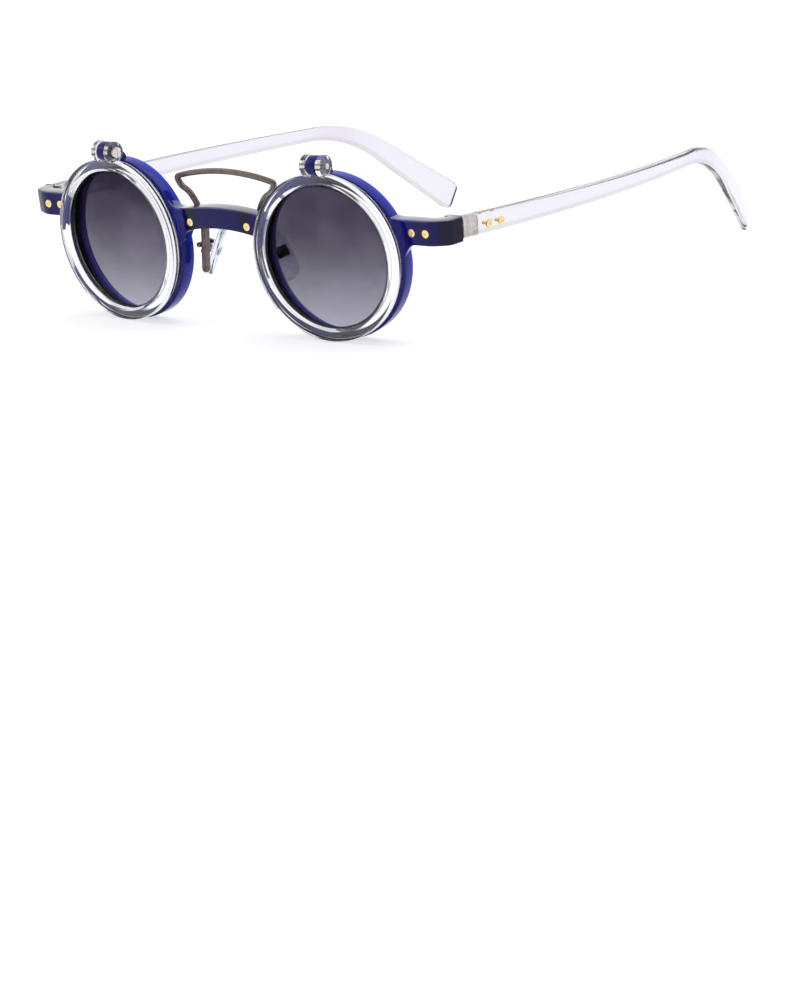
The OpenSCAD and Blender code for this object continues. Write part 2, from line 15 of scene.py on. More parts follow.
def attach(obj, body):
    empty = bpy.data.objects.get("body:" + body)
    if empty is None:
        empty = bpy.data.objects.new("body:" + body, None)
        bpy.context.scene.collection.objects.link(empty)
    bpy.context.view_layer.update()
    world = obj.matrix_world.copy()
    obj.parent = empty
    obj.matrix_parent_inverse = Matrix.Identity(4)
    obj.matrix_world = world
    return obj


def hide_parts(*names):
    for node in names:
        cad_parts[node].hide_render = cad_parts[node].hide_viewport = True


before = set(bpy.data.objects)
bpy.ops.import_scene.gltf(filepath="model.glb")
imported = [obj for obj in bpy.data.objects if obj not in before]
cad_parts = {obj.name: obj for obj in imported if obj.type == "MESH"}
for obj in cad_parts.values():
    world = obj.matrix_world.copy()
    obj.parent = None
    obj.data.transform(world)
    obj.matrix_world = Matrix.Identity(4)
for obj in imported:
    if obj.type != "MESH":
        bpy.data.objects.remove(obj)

bl_info = {
    "name": "Flip-up sunglasses",
    "version": (1, 0, 0),
    "blender": (4, 5, 0),
    "location": "3D View > Sidebar > Glasses",
    "description": "Builds the front, flip-up rings, lenses, metal bridge, pads, rivets and temples",
    "category": "Add Mesh",
}

# Where the leaning front stands, in millimetres and degrees
MIDDLE_Y = 68.7351
REST_Z = 18.8928
LEAN = math.radians(5)
WRAP = math.radians(5)
RIM_X = 31.0

# Rims and flip-up rings: radii from a rim's centre and depths from its front
RIM_R = 19.0
RIM_IN = 17.1
RIM_GROOVE = 0.35
FRONT_T = 3.6
LENS_Y = 1.8
BASE_T = 1.2
RING_R = 19.15
RING_IN = 16.2
RING_GROOVE = 0.3
RING_Z = 0.545
TINT_T = 1.0
RING_FRONT = -3.6
RING_MID = -2.2
RING_BACK = -0.8
AXIS_Z = 21.25
EAR_R = 2.45
EAR_X = 1.35
EAR_W = 1.5
KNUCKLE_W = 2.4

# Depths behind a rim's front where a painted glow of light starts on its side and where its inner wall is
# painted lit in bright blue, with the lengths over which they do
GLOW_FROM = 1.9
GLOW_SPAN = 1.2
WALL_FROM = 1.12
WALL_SPAN = 0.14

# Bridge and end pieces. A spread says where a piece starts to widen into its rim, over what length, how far
# it goes and on what power.
BRIDGE_HALF = 16.2
BRIDGE_CURVE = 106.53
BRIDGE_FRONT = -2.4
BRIDGE_BACK = 1.6
BRIDGE_TOP = 9.9
BRIDGE_UNDER = 4.9
BRIDGE_TOP_R = 60.0
BRIDGE_UNDER_R = 42.0
BRIDGE_TOP_SPREAD = (10.8, 5.4, 4.1, 2.4)
BRIDGE_UNDER_SPREAD = (9.5, 3.0, 3.4, 2.2)
END_TOP = 9.25
END_LOW = 3.6
END_TOP_SPREAD = (-18.3, 2.4, 0.4, 2)
END_LOW_SPREAD = (-21.4, 2.8, 2.9, 2.2)

# Rivets: where they go through, and the depths of an end piece rivet's head and tail
RIVET_R = 0.95
RIVET_DOME = 0.12
BRIDGE_RIVET = (8.5, 5.9)
END_RIVETS = ((52.7, 6.4), (56.5, 6.4))
END_RIVET_ENDS = (1.536, 6.456)
TEMPLE_RIVETS = (8.1, 12.0)
TEMPLE_RIVET_Z = -0.3
TEMPLE_ROD_R = 0.4
TEMPLE_ROD_END = -0.6

# Temple hinge, in the standing frame
HINGE = (58.5, 7.25084 - MIDDLE_Y, 26.1524)
NOTCH_R = 1.46
NOTCH_SIDE = -1.5
HINGE_GAP = 0.08
SPLAY = math.radians(7.8)

# Temple: lengths along its curve, heights, and its plan's two arcs
STRAIGHT_L = 93.106
BEND = math.radians(37)
BEND_R = 35.5
TEMPLE_L = 142.0
TEMPLE_H = 4.9
WAIST_H = 3.4
TIP_H = 7.2
TIP_CUT = math.radians(13)
TIP_CUT_FROM = 128
TIP_CUT_SPAN = 14
TIP_ROUND = 1.9
SQUARE_L = 3.0
TEMPLE_OUT = 2.6
TEMPLE_T = 3.5
TIP_T = 2.7
BOW_R = 278.0

# Metal bridge and pads
METAL_FRONT = 1.6
METAL_T = 1.2
METAL_MID = METAL_FRONT + METAL_T / 2
WIRE_W = 1.3
BAR_HALF = 14.7
BAR_Z = 15.3
BAR_RISE = 1.9
PAD_BAR_PLACE = (8.67, -1.2)
PAD_BAR_TILT = math.radians(7.9)
PAD_BAR_R = 0.95
PAD_BAR_LOW = -5.05
PAD_BAR_HIGH = 7.2
PAD_PLACE = (9.2, 6.638, -2.9)
PAD_TILT = math.radians(28)
PAD_TURN = math.radians(26)
PAD_L = 12.8
PAD_D = 6.8
PAD_T = 2.2

# Meshes, in metres and radians
MERGE_DISTANCE = 1e-7
EMPTY_EDGE = 1e-8
SHARP_ANGLE = math.radians(35)
GRAIN_DEPTH = 0.00002

# Camera fitted to the upper view: azimuth, elevation and roll in degrees, and its shift in millimetres
CAMERA_ANGLES = (40.347, 18.37, -6.938)
CAMERA_SHIFT = (-37.934, 55.993, -784.068)
CAMERA_LENS = 126.009

# Dark card that glass and metal see: for each direction, the cosines where it starts and is full
CARD = (((0.6, -0.78, 0.1), 0.1, 0.85), ((0, 0, 1), 0.08, 0.3))
CARD_DARK = 0.7
FLOOR_HALF = 4.0
FLOOR_GLOW = 0.6

FORWARD = np.array([0.0, -1.0, 0.0])
UP = np.array([0.0, 0.0, 1.0])
EVEN = (1.0, 1.0, 1.0)
SIDES = (("left", 1.0), ("right", -1.0))


def stand(points):
    """From the front's frame to the row frame: a lean about x, then a shift, in metres."""
    x, y, z = np.moveaxis(points, -1, 0)
    c, s = math.cos(LEAN), math.sin(LEAN)
    return np.stack([x, y * c - z * s - MIDDLE_Y, y * s + z * c + REST_Z], -1) / 1000


def from_rim(points):
    """From one rim's frame to the front's: a turn about z by the wrap, then out to the rim's centre."""
    x, y, z = np.moveaxis(points, -1, 0)
    c, s = math.cos(WRAP), math.sin(WRAP)
    return np.stack([RIM_X + x * c - y * s, x * s + y * c, z], -1)


def from_pad(points):
    """From one pad's frame to the front's: a turn about z, a tilt about y, then out to the pad's centre."""
    x, y, z = np.moveaxis(points, -1, 0)
    across = x * math.cos(PAD_TURN) + y * math.sin(PAD_TURN)
    back = y * math.cos(PAD_TURN) - x * math.sin(PAD_TURN)
    return np.stack([
        PAD_PLACE[0] + across * math.cos(PAD_TILT) - z * math.sin(PAD_TILT),
        PAD_PLACE[1] + back,
        PAD_PLACE[2] + across * math.sin(PAD_TILT) + z * math.cos(PAD_TILT),
    ], -1)


def from_splay(points):
    """From one temple's frame to the row frame: a turn about z by the splay, out to the hinge, in metres."""
    x, y, z = np.moveaxis(points, -1, 0)
    c, s = math.cos(SPLAY), math.sin(SPLAY)
    return np.stack([HINGE[0] + x * c + y * s, HINGE[1] - x * s + y * c, HINGE[2] + z], -1) / 1000


def sided(points, side):
    """The same points on the left for 1, or mirrored to the right for -1."""
    return points * np.array([side, 1.0, 1.0])


def ramp(past, span):
    """0 up to a place, then up to 1 over the span; past is how far beyond the place."""
    return np.clip(past / span, 0, 1)


def spread(place, start, span, far, power):
    """How far a piece has widened at a place."""
    return far * ramp(place - start, span) ** power


def polished(facing):
    """Mirror polish of a face that looks up, from how far it does."""
    return np.clip(facing * 1.3 - 0.3, 0, 1)


def rounded_line(corners, cuts, steps=7, closed=True):
    """Polyline that turns each corner on a parabola touching both edges at its cut length."""
    p = np.asarray(corners, float)
    c = np.broadcast_to(np.asarray(cuts, float), (len(p),))[:, None]
    before, after = np.roll(p, 1, 0) - p, np.roll(p, -1, 0) - p
    a = p + before / np.linalg.norm(before, axis=1)[:, None] * c
    b = p + after / np.linalg.norm(after, axis=1)[:, None] * c
    t = np.linspace(0, 1, steps)[None, :, None]
    line = (1 - t) ** 2 * a[:, None] + 2 * t * (1 - t) * p[:, None] + t ** 2 * b[:, None]
    if closed:
        return line.reshape(-1, p.shape[1])
    return np.concatenate([p[:1], line[1:-1].reshape(-1, p.shape[1]), p[-1:]])


def resampled(line, count):
    """The open polyline at equal steps of its length."""
    steps = np.concatenate([[0], np.cumsum(np.linalg.norm(np.diff(line, axis=0), axis=1))])
    at = np.linspace(0, steps[-1], count)
    return np.stack([np.interp(at, steps, line[:, k]) for k in range(line.shape[1])], -1)


def grid_faces(rows, columns, ring_rows, ring_columns, capped):
    """Quads between neighbouring rows and columns, with one flat face on each end row where capped."""
    i = np.arange(rows if ring_rows else rows - 1)[:, None]
    j = np.arange(columns if ring_columns else columns - 1)[None, :]
    i2, j2 = (i + 1) % rows, (j + 1) % columns
    corners = [i * columns + j, i2 * columns + j, i2 * columns + j2, i * columns + j2]
    faces = np.stack(np.broadcast_arrays(*corners), -1).reshape(-1, 4).tolist()
    if capped:
        first = np.arange(columns)
        faces += [first[::-1].tolist(), (first + (rows - 1) * columns).tolist()]
    return faces


def shell(points, ring_rows=False, ring_columns=True, capped=True, **marks):
    """A closed skin over a grid of points, with its marks: numbers per point that materials read."""
    rows, columns = points.shape[:2]
    faces = grid_faces(rows, columns, ring_rows, ring_columns, capped and not ring_rows and ring_columns)
    flat = {k: np.broadcast_to(v, (rows, columns)).reshape(-1) for k, v in marks.items()}
    return points.reshape(-1, 3), faces, flat


def section(width, height, radius, steps=5):
    """Rounded rectangles, one for each station: corner centre plus radius times (cosine, sine) of a full
    turn. Also gives how far each point faces along the height, from -1 to 1."""
    quarter = np.linspace(0, math.pi / 2, steps)
    angle = (quarter[None, :] + np.arange(4)[:, None] * math.pi / 2).reshape(-1)
    sx = np.repeat([1, -1, -1, 1], steps)
    sz = np.repeat([1, 1, -1, -1], steps)
    w, h, r = (np.atleast_1d(np.asarray(k, float))[:, None] for k in (width, height, radius))
    return sx * (w / 2 - r) + r * np.cos(angle), sz * (h / 2 - r) + r * np.sin(angle), np.sin(angle)


def carried(path, across, up, width, height, radius):
    """A rounded rectangle carried along a path: point + across times its width + up times its height."""
    a, b, facing = section(*(np.broadcast_to(k, (len(path),)) for k in (width, height, radius)))
    across, up = (np.broadcast_to(k, path.shape)[:, None] for k in (across, up))
    return path[:, None] + across * a[..., None] + up * b[..., None], np.broadcast_to(facing, a.shape)


def turned(profile, steps=180):
    """The (radius, depth) profile turned about y: (radius cosine, depth, radius sine)."""
    angle = np.linspace(0, 2 * math.pi, steps, endpoint=False)[:, None]
    r, y = profile[:, 0][None], profile[:, 1][None]
    return np.stack([r * np.cos(angle), np.broadcast_to(y, (steps, r.shape[1])), r * np.sin(angle)], -1)


def side_facing(profile):
    """How far each point of a closed profile faces away from the axis, from 0 on a flat face to 1."""
    step = np.roll(profile, -1, 0) - np.roll(profile, 1, 0)
    return np.abs(step[:, 1]) / np.maximum(np.linalg.norm(step, axis=1), 1e-9)


def block(outline, half, edge, bulge=0.0, rows=4):
    """A flat block with rounded rims: the outline moves in by edge times (1 - cosine) while it goes out by
    edge times sine, then closes to the middle with a crown of bulge. Columns: two in the outline, then one
    through."""
    ahead = np.roll(outline, -1, 0) - np.roll(outline, 1, 0)
    ahead = ahead / np.maximum(np.linalg.norm(ahead, axis=1), 1e-9)[:, None]
    out = np.stack([ahead[:, 1], -ahead[:, 0]], -1)
    middle = outline.mean(0)
    if ((outline - middle) * out).sum() < 0:
        out = -out
    a = np.linspace(0, math.pi / 2, rows + 1)
    inset, through = edge * (1 - np.cos(a)), half - edge + edge * np.sin(a)
    shrink = np.concatenate([np.ones(rows + 1), np.linspace(0.75, 0, 4)])
    inset = np.concatenate([inset, np.full(4, edge)])
    through = np.concatenate([through, np.full(4, half)]) + bulge * (1 - shrink ** 2)
    inset, shrink = (np.concatenate([k[::-1], k]) for k in (inset, shrink))
    through = np.concatenate([-through[::-1], through])
    flat = middle + (outline[None] - out[None] * inset[:, None, None] - middle) * shrink[:, None, None]
    return np.concatenate([flat, np.broadcast_to(through[:, None, None], flat.shape[:2] + (1,))], -1)


def along_x(points):
    """A block whose outline lies in (y, z) and that runs through along x."""
    return points[..., [2, 0, 1]]


def along_y(points):
    """A block whose outline lies in (x, z) and that runs through along y."""
    return points[..., [0, 2, 1]]


def build(name, shells, body, nodes, slot):
    """One object from closed shells: merged, facing outwards, sharp past an angle, riding on its body."""
    points = np.concatenate([s[0] for s in shells])
    starts = np.cumsum([0] + [len(s[0]) for s in shells])
    faces = [[v + start for v in f] for start, s in zip(starts, shells) for f in s[1]]
    mesh = bpy.data.meshes.new(name)
    mesh.from_pydata(points.tolist(), [], faces)
    for mark in sorted({k for s in shells for k in s[2]}):
        values = np.concatenate([s[2].get(mark, np.zeros(len(s[0]))) for s in shells])
        mesh.attributes.new(mark, "FLOAT", "POINT").data.foreach_set("value", values.astype(np.float32))
    work = bmesh.new()
    work.from_mesh(mesh)
    bmesh.ops.remove_doubles(work, verts=work.verts, dist=MERGE_DISTANCE)
    bmesh.ops.dissolve_degenerate(work, edges=work.edges, dist=EMPTY_EDGE)
    bmesh.ops.recalc_face_normals(work, faces=work.faces)
    work.to_mesh(mesh)
    work.free()
    mesh.polygons.foreach_set("use_smooth", np.ones(len(mesh.polygons), bool))
    mesh.set_sharp_from_angle(angle=SHARP_ANGLE)
    mesh.materials.append(finish(slot))
    piece = bpy.data.objects.new(name, mesh)
    bpy.context.scene.collection.objects.link(piece)
    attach(piece, body)
    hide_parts(*nodes)


def finish_node(node, slot):
    """A CAD node that is already right keeps its mesh and takes the slot's material."""
    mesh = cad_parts[node].data
    mesh.materials.clear()
    mesh.materials.append(finish(slot))


def dimmed(colour, level):
    """The colour times a level."""
    return tuple(k * level for k in colour[:3])


class Nodes:
    """Short hand for putting a material together on its principled shader."""

    def __init__(self, name):
        self.material = bpy.data.materials.new(name + "_finish")
        self.material.use_nodes = True
        self.tree = self.material.node_tree
        self.shader = self.tree.nodes["Principled BSDF"]

    def add(self, kind, **settings):
        node = self.tree.nodes.new("ShaderNode" + kind)
        for key, value in settings.items():
            setattr(node, key, value)
        return node

    def link(self, a, b):
        self.tree.links.new(a, b)

    def set(self, **values):
        """Values on the shader's own sockets; an underscore in a name is a space."""
        for key, value in values.items():
            self.shader.inputs[key.replace("_", " ")].default_value = value

    def mark(self, name):
        return self.add("Attribute", attribute_name=name).outputs["Fac"]

    def noise(self, scale, detail=3.0, stretch=EVEN):
        """Noise on object coordinates, with scale in cycles for each metre."""
        place = self.add("TexCoord").outputs["Object"]
        mapping = self.add("Mapping")
        mapping.inputs["Scale"].default_value = stretch
        self.link(place, mapping.inputs["Vector"])
        noise = self.add("TexNoise")
        noise.inputs["Scale"].default_value = scale
        noise.inputs["Detail"].default_value = detail
        self.link(mapping.outputs["Vector"], noise.inputs["Vector"])
        return noise.outputs["Fac"]

    def between(self, value, low, high, to_low=0.0, to_high=1.0, smooth=False):
        """The value from low to high, spread over to_low to to_high."""
        node = self.add("MapRange", interpolation_type="SMOOTHSTEP" if smooth else "LINEAR")
        for key, number in (("From Min", low), ("From Max", high), ("To Min", to_low), ("To Max", to_high)):
            node.inputs[key].default_value = number
        self.link(value, node.inputs["Value"])
        return node.outputs["Result"]

    def mixed(self, factor, a, b):
        """Colour a turning into colour b as the factor goes from 0 to 1. The node's colour sockets are its
        inputs 6 and 7 and its output 2."""
        node = self.add("Mix", data_type="RGBA")
        if isinstance(factor, float):
            node.inputs["Factor"].default_value = factor
        else:
            self.link(factor, node.inputs["Factor"])
        for socket, value in ((node.inputs[6], a), (node.inputs[7], b)):
            if isinstance(value, bpy.types.NodeSocket):
                self.link(value, socket)
            else:
                socket.default_value = tuple(value)[:3] + (1.0,)
        return node.outputs[2]

    def grain(self, scale, strength, stretch=EVEN):
        """A shallow bump from noise."""
        bump = self.add("Bump")
        bump.inputs["Strength"].default_value = strength
        bump.inputs["Distance"].default_value = GRAIN_DEPTH
        self.link(self.noise(scale, stretch=stretch), bump.inputs["Height"])
        self.link(bump.outputs["Normal"], self.shader.inputs["Normal"])

    def rough(self, scale, low, high, stretch=EVEN):
        """Roughness that wanders between two values."""
        self.link(self.between(self.noise(scale, stretch=stretch), 0.3, 0.7, low, high),
                  self.shader.inputs["Roughness"])

    def colour(self, socket):
        self.link(socket, self.shader.inputs["Base Color"])
        return self.material


def blue_acetate(c):
    """Deep navy faces, bluer on the rims; sides and bevels painted lit in cobalt; a slow cloudiness in both.
    Painted shade, nearly black, where metal sits behind and on the inner wall in front of the lens; painted
    light, brightest, on the wall behind the lens, with a painted highlight line at the lens's back edge."""
    n = Nodes("blue_acetate")
    n.set(IOR=1.49, Specular_IOR_Level=0.22, Coat_IOR=1.8, Coat_Roughness=0.04)
    n.link(n.mark("polish"), n.shader.inputs["Coat Weight"])
    cloud = n.noise(160.0, 2.0)
    face = n.mixed(n.mark("rim"), c.front, c.front_rim)
    face = n.mixed(n.between(cloud, 0.35, 0.65, 0.0, 0.1), face, (0.02, 0.02, 0.4))
    side = n.mixed(n.between(cloud, 0.35, 0.65), c.front_side, dimmed(c.front_side, 1.25))
    n.rough(900.0, 0.05, 0.1)
    n.grain(2500.0, 0.06)
    # Painted light and shade from here on: lit sides and their glow, the lit inner wall, its highlight line,
    # and painted shade
    body = n.mixed(n.between(n.mark("edge"), 0.35, 1.0, smooth=True), face, side)
    body = n.mixed(n.between(n.mark("glow"), 0.2, 1.0, smooth=True), body, c.front_glow)
    body = n.mixed(n.mark("wall"), body, c.front_wall)
    body = n.mixed(n.mark("gleam"), body, (0.5, 0.48, 0.75))
    return n.colour(n.mixed(n.mark("backed"), body, (0.007, 0.0065, 0.011)))


def clear_acetate(c):
    """Clear polished ring, faintly grey, with painted shade as dark lines where the shape turns sharply
    inwards.
    """
    n = Nodes("clear_acetate")
    n.set(IOR=1.49, Transmission_Weight=1.0)
    tint = n.mixed(n.between(n.noise(220.0, 2.0), 0.3, 0.7), c.ring, dimmed(c.ring, 0.97))
    n.rough(600.0, 0.0, 0.02)
    # Painted shade: dark lines at the sharp inward turns
    return n.colour(n.mixed(n.mark("line"), tint, (0.01, 0.01, 0.02)))


def tinted_lens(c):
    """Grey violet that thins out towards the bottom, with a painted dark line of shade where it enters the
    ring.
    """
    n = Nodes("tinted_lens")
    n.set(IOR=1.04, Transmission_Weight=1.0)
    tint = n.mixed(n.mark("fall"), c.tint_low, c.tint_top)
    tint = n.mixed(n.between(n.noise(90.0, 1.0), 0.4, 0.6), tint, n.mixed(0.06, tint, (0.5, 0.45, 0.6)))
    n.rough(150.0, 0.0, 0.006)
    return n.colour(n.mixed(n.mark("line"), tint, (0.004, 0.004, 0.006)))


def clear_lens(c):
    """Clear lens with the palest cool cast."""
    n = Nodes("clear_lens")
    n.set(IOR=1.04, Transmission_Weight=1.0)
    n.rough(150.0, 0.0, 0.006)
    cloud = n.between(n.noise(120.0, 1.0), 0.3, 0.7)
    return n.colour(n.mixed(cloud, (0.95, 0.96, 0.97), (0.97, 0.975, 0.99)))


def clear_temple(c):
    """Clear acetate with a lavender cast, painted light lines along the edges where refraction bends the
    light, grey on the upper edge and amber below, and a violet blush in the bend."""
    n = Nodes("clear_temple")
    n.set(IOR=1.4, Transmission_Weight=1.0)
    body = n.mixed(n.between(n.noise(120.0, 2.0), 0.3, 0.7), c.temple, dimmed(c.temple, 0.98))
    body = n.mixed(n.mark("blush"), body, c.temple_bend)
    # Painted light lines: grey on the upper edge, amber on the lower
    body = n.mixed(n.mark("upper"), body, (0.42, 0.41, 0.47))
    body = n.mixed(n.mark("lower"), body, (0.72, 0.5, 0.36))
    n.rough(400.0, 0.0, 0.02)
    return n.colour(body)


def clear_pad(c):
    """Soft clear plastic: slightly hazy."""
    n = Nodes("clear_pad")
    n.set(IOR=1.45, Transmission_Weight=1.0)
    n.rough(900.0, 0.02, 0.08)
    return n.colour(n.mixed(n.between(n.noise(300.0), 0.3, 0.7), c.pad, dimmed(c.pad, 0.96)))


def gunmetal(c):
    """Polished brown gunmetal plating with fine wear."""
    n = Nodes("gunmetal")
    n.set(Metallic=1.0)
    n.rough(1600.0, 0.16, 0.26)
    n.grain(3500.0, 0.015)
    return n.colour(n.mixed(n.between(n.noise(700.0), 0.35, 0.7), c.metal, dimmed(c.metal, 1.5)))


def plain_steel(c):
    """Plain hinge metal, brushed along the hinge."""
    n = Nodes("plain_steel")
    n.set(Metallic=1.0)
    n.rough(1500.0, 0.2, 0.38, (1.0, 0.2, 1.0))
    n.grain(4000.0, 0.12, stretch=(1.0, 0.1, 1.0))
    return n.colour(n.mixed(n.between(n.noise(900.0), 0.35, 0.7), c.steel, dimmed(c.steel, 0.7)))


def gold_rivet(c):
    """Pale gold heads, with painted orange shade in the hollow at their middle."""
    n = Nodes("gold_rivet")
    n.set(Metallic=1.0)
    n.rough(2500.0, 0.16, 0.3)
    n.grain(6000.0, 0.1)
    pale = n.mixed(n.between(n.noise(1500.0), 0.3, 0.7), c.rivet, dimmed(c.rivet, 0.85))
    # Painted shade in the hollow at the middle
    return n.colour(n.mixed(n.mark("centre"), pale, (0.95, 0.5, 0.13)))


FINISHES = {
    "blue_acetate": blue_acetate, "clear_acetate": clear_acetate, "tinted_lens": tinted_lens,
    "clear_lens": clear_lens, "clear_temple": clear_temple, "clear_pad": clear_pad, "gunmetal": gunmetal,
    "steel": plain_steel, "gold": gold_rivet,
}


def finish(slot):
    """The slot's material, made once from the colours in the panel."""
    maker = FINISHES[slot]
    made = bpy.data.materials.get(maker.__name__ + "_finish")
    return made or maker(bpy.context.scene.glasses_colours)


def rim_part(round_mm):
    """One rim: a rounded profile turned about the rim's axis, and its marks for each point of the profile."""
    profile = rounded_line(
        [[RIM_IN, 0.1], [RIM_R, 0], [RIM_R, FRONT_T], [RIM_IN + 0.5, FRONT_T], [RIM_IN, LENS_Y + BASE_T / 2],
         [RIM_IN, LENS_Y - BASE_T / 2]], [round_mm * 0.7, round_mm, round_mm * 1.5, 0.2, 0.2, 0.12])
    r, y = profile[:, 0], profile[:, 1]
    facing = side_facing(profile)
    inner = (r < RIM_IN + 0.45).astype(float)
    marks = {
        "edge": facing,
        "glow": facing * ramp(y - GLOW_FROM, GLOW_SPAN),
        "rim": 1 - facing,
        # Painted light on the inner wall: lit bright blue behind the lens, painted shade in front of it, and
        # a painted highlight line at the lens's back edge
        "wall": inner * ramp(y - WALL_FROM, WALL_SPAN),
        "backed": inner * ramp(WALL_FROM + WALL_SPAN - y, WALL_SPAN),
        "gleam": inner * np.exp(-((y - LENS_Y - BASE_T / 2) / 0.1) ** 2),
    }
    return turned(profile), {k: v[None] for k, v in marks.items()}


def bridge_part(round_mm):
    """The blue bridge: a rounded rectangle carried from rim to rim. Its top and underside are arcs that
    spread into the rims, and its front is an arc seen from above that runs out onto the rims' fronts."""
    x = np.linspace(-BRIDGE_HALF, BRIDGE_HALF, 161)
    away = np.abs(x)
    onto = ramp(away - 10.2, 2.2)
    onto = onto * onto * (3 - 2 * onto)
    front = BRIDGE_FRONT + BRIDGE_CURVE - np.sqrt(BRIDGE_CURVE ** 2 - x ** 2)
    front = front * (1 - onto) + ((away - RIM_X) * math.tan(WRAP) - 0.004) * onto
    top = BRIDGE_TOP - BRIDGE_TOP_R + np.sqrt(BRIDGE_TOP_R ** 2 - x ** 2) + spread(away, *BRIDGE_TOP_SPREAD)
    under = BRIDGE_UNDER - BRIDGE_UNDER_R + np.sqrt(BRIDGE_UNDER_R ** 2 - x ** 2)
    under = under - spread(away, *BRIDGE_UNDER_SPREAD)
    opening = np.sqrt(np.maximum((RIM_IN + RIM_GROOVE) ** 2 - (away - RIM_X) ** 2, 0))
    under = np.where(away > 13.3, np.maximum(under, opening), under)
    path = np.stack([x, (front + BRIDGE_BACK) / 2, (top + under) / 2], -1)
    points, facing = carried(path, FORWARD, UP, BRIDGE_BACK - front, top - under, round_mm)
    near = ramp(away - 9.6, 1.8)[:, None]
    behind = points[..., 1] - (np.abs(points[..., 0]) - RIM_X) * math.tan(WRAP)
    return points, {
        "edge": np.abs(facing) * (0.25 + 0.75 * near),
        # Painted shade where the metal bridge sits behind
        "backed": (ramp(1.95 - np.abs(away - 8.2), 0.8) * 0.75)[:, None],
        "glow": np.abs(facing) * near * ramp(behind - GLOW_FROM, GLOW_SPAN),
        "rim": near * 0.8,
        "polish": polished(facing),
    }


def end_piece_part(round_mm):
    """One end piece: a rounded rectangle between its outer and inner line seen from above. Gives its points,
    how far they face up and how far out from the rim's centre they are."""
    outer = rounded_line([[46.3, 1.332], [49.9, 1.647], [58, 1.72], [61.9, 3.75], [62.75, 8.5]],
                         [0.1, 2.2, 1.6, 1.1, 0.1], 9, closed=False)
    inner = rounded_line([[46.3, 4.9], [51, 5.256], [57.7, 5.256], [58.9, 6.4], [59.3, 8.5]],
                         [0.1, 1.0, 0.8, 0.8, 0.1], 9, closed=False)
    outer, inner = resampled(outer, 90), resampled(inner, 90)
    width = np.linalg.norm(outer - inner, axis=1)
    x = (outer[:, 0] + inner[:, 0]) / 2 - RIM_X
    opening = np.sqrt(np.maximum((RIM_IN + 0.4) ** 2 - x ** 2, 0))
    top = END_TOP + spread(-x, *END_TOP_SPREAD)
    low = np.maximum(END_LOW - spread(-x, *END_LOW_SPREAD), opening)
    path = np.concatenate([(outer + inner) / 2, ((top + low) / 2)[:, None]], 1)
    across = np.concatenate([(outer - inner) / width[:, None], np.zeros((len(x), 1))], 1)
    points, facing = carried(path, across, UP, width, top - low, round_mm)
    return points, facing, x[:, None]


def clear_of_hinge(points):
    """Cuts the end piece square where the temple meets it, and hollows it round the hinge's knuckles."""
    x, y, z = np.moveaxis(points * 1000, -1, 0)
    x, y = x - HINGE[0], y - HINGE[1]
    along = np.minimum(x * math.sin(SPLAY) + y * math.cos(SPLAY), 0.0)
    across = x * math.cos(SPLAY) - y * math.sin(SPLAY)
    x = across * math.cos(SPLAY) + along * math.sin(SPLAY)
    y = along * math.cos(SPLAY) - across * math.sin(SPLAY)
    reach = np.sqrt(np.maximum(NOTCH_R ** 2 - y ** 2, 0))
    x = np.where((reach > 0) & (x > NOTCH_SIDE), np.maximum(x, reach), x)
    return np.stack([x + HINGE[0], y + HINGE[1], z], -1) / 1000


def flip_knuckle_part():
    """The knuckle over a rim: a round head on the flip axis that runs back and down to a foot on the rim."""
    angle = np.radians(np.linspace(208, 28, 25))
    radius = EAR_R - 0.1
    head = np.stack([RING_MID + radius * np.cos(angle), AXIS_Z + radius * np.sin(angle)], -1)
    foot = rounded_line([[1.0, 21.3], [2.5, 19.6], [2.6, 18.3]], [0.3, 0.7, 0.1], 6, closed=False)
    under = np.array([[-0.45, 18.3], [-0.45, 19.3], [-1.2, 19.6], [-3.2, 19.3]])
    return along_x(block(np.concatenate([head, foot, under]), KNUCKLE_W / 2, 0.2))


def rivet_part(front, back, rod=RIVET_R):
    """A rivet along y: a flat-crowned head with a small hollow at its middle, a rod and a domed tail. Also
    gives the mark of the hollow, where shade is painted."""
    profile = np.array([
        [0, front + 0.05], [0.16, front + 0.04], [0.3, front + 0.01], [0.45, front], [0.75, front + 0.02],
        [0.9, front + RIVET_DOME * 0.6], [RIVET_R, front + RIVET_DOME + 0.06], [RIVET_R, front + 0.45],
        [rod, front + 0.5], [rod, back - 0.12], [rod * 0.8, back - 0.02], [0, back]])
    # Mark of the hollow, where painted shade goes
    centre = ramp(0.42 - profile[:, 0], 0.15) * (profile[:, 1] < back - 0.5)
    return turned(profile, 40), centre


class GLASSES_OT_front(bpy.types.Operator):
    """Blue front: two rims, the arched bridge, both end pieces and the flip knuckles"""

    bl_idname = "glasses.front"
    bl_label = "Blue front"

    def execute(self, context):
        round_mm = context.scene.glasses_sizes.front_edge * 1000
        rim, rim_marks = rim_part(round_mm)
        bridge, bridge_marks = bridge_part(round_mm)
        end, end_facing, out = end_piece_part(round_mm)
        knuckle = flip_knuckle_part()
        shells = [shell(stand(bridge), **bridge_marks)]
        for _, side in SIDES:
            shells.append(shell(sided(stand(from_rim(rim)), side), ring_rows=True, **rim_marks))
            # The end piece is bluer near the rim, with painted shade over the hinge's leaf
            shells.append(shell(
                sided(clear_of_hinge(stand(end)), side),
                edge=np.abs(end_facing) * (0.4 * ramp(28 - out, 3.0) + 0.6 * ramp(22 - out, 2)),
                backed=ramp(out - 26.6, 0.5) * 0.8,
                rim=ramp(22.5 - out, 3.0) * 0.6,
                polish=polished(end_facing)))
            shells.append(shell(sided(stand(from_rim(knuckle)), side), capped=False, edge=0.5))
        build("front_shaped", shells, "front", ["front_frame"], "blue_acetate")
        return {"FINISHED"}


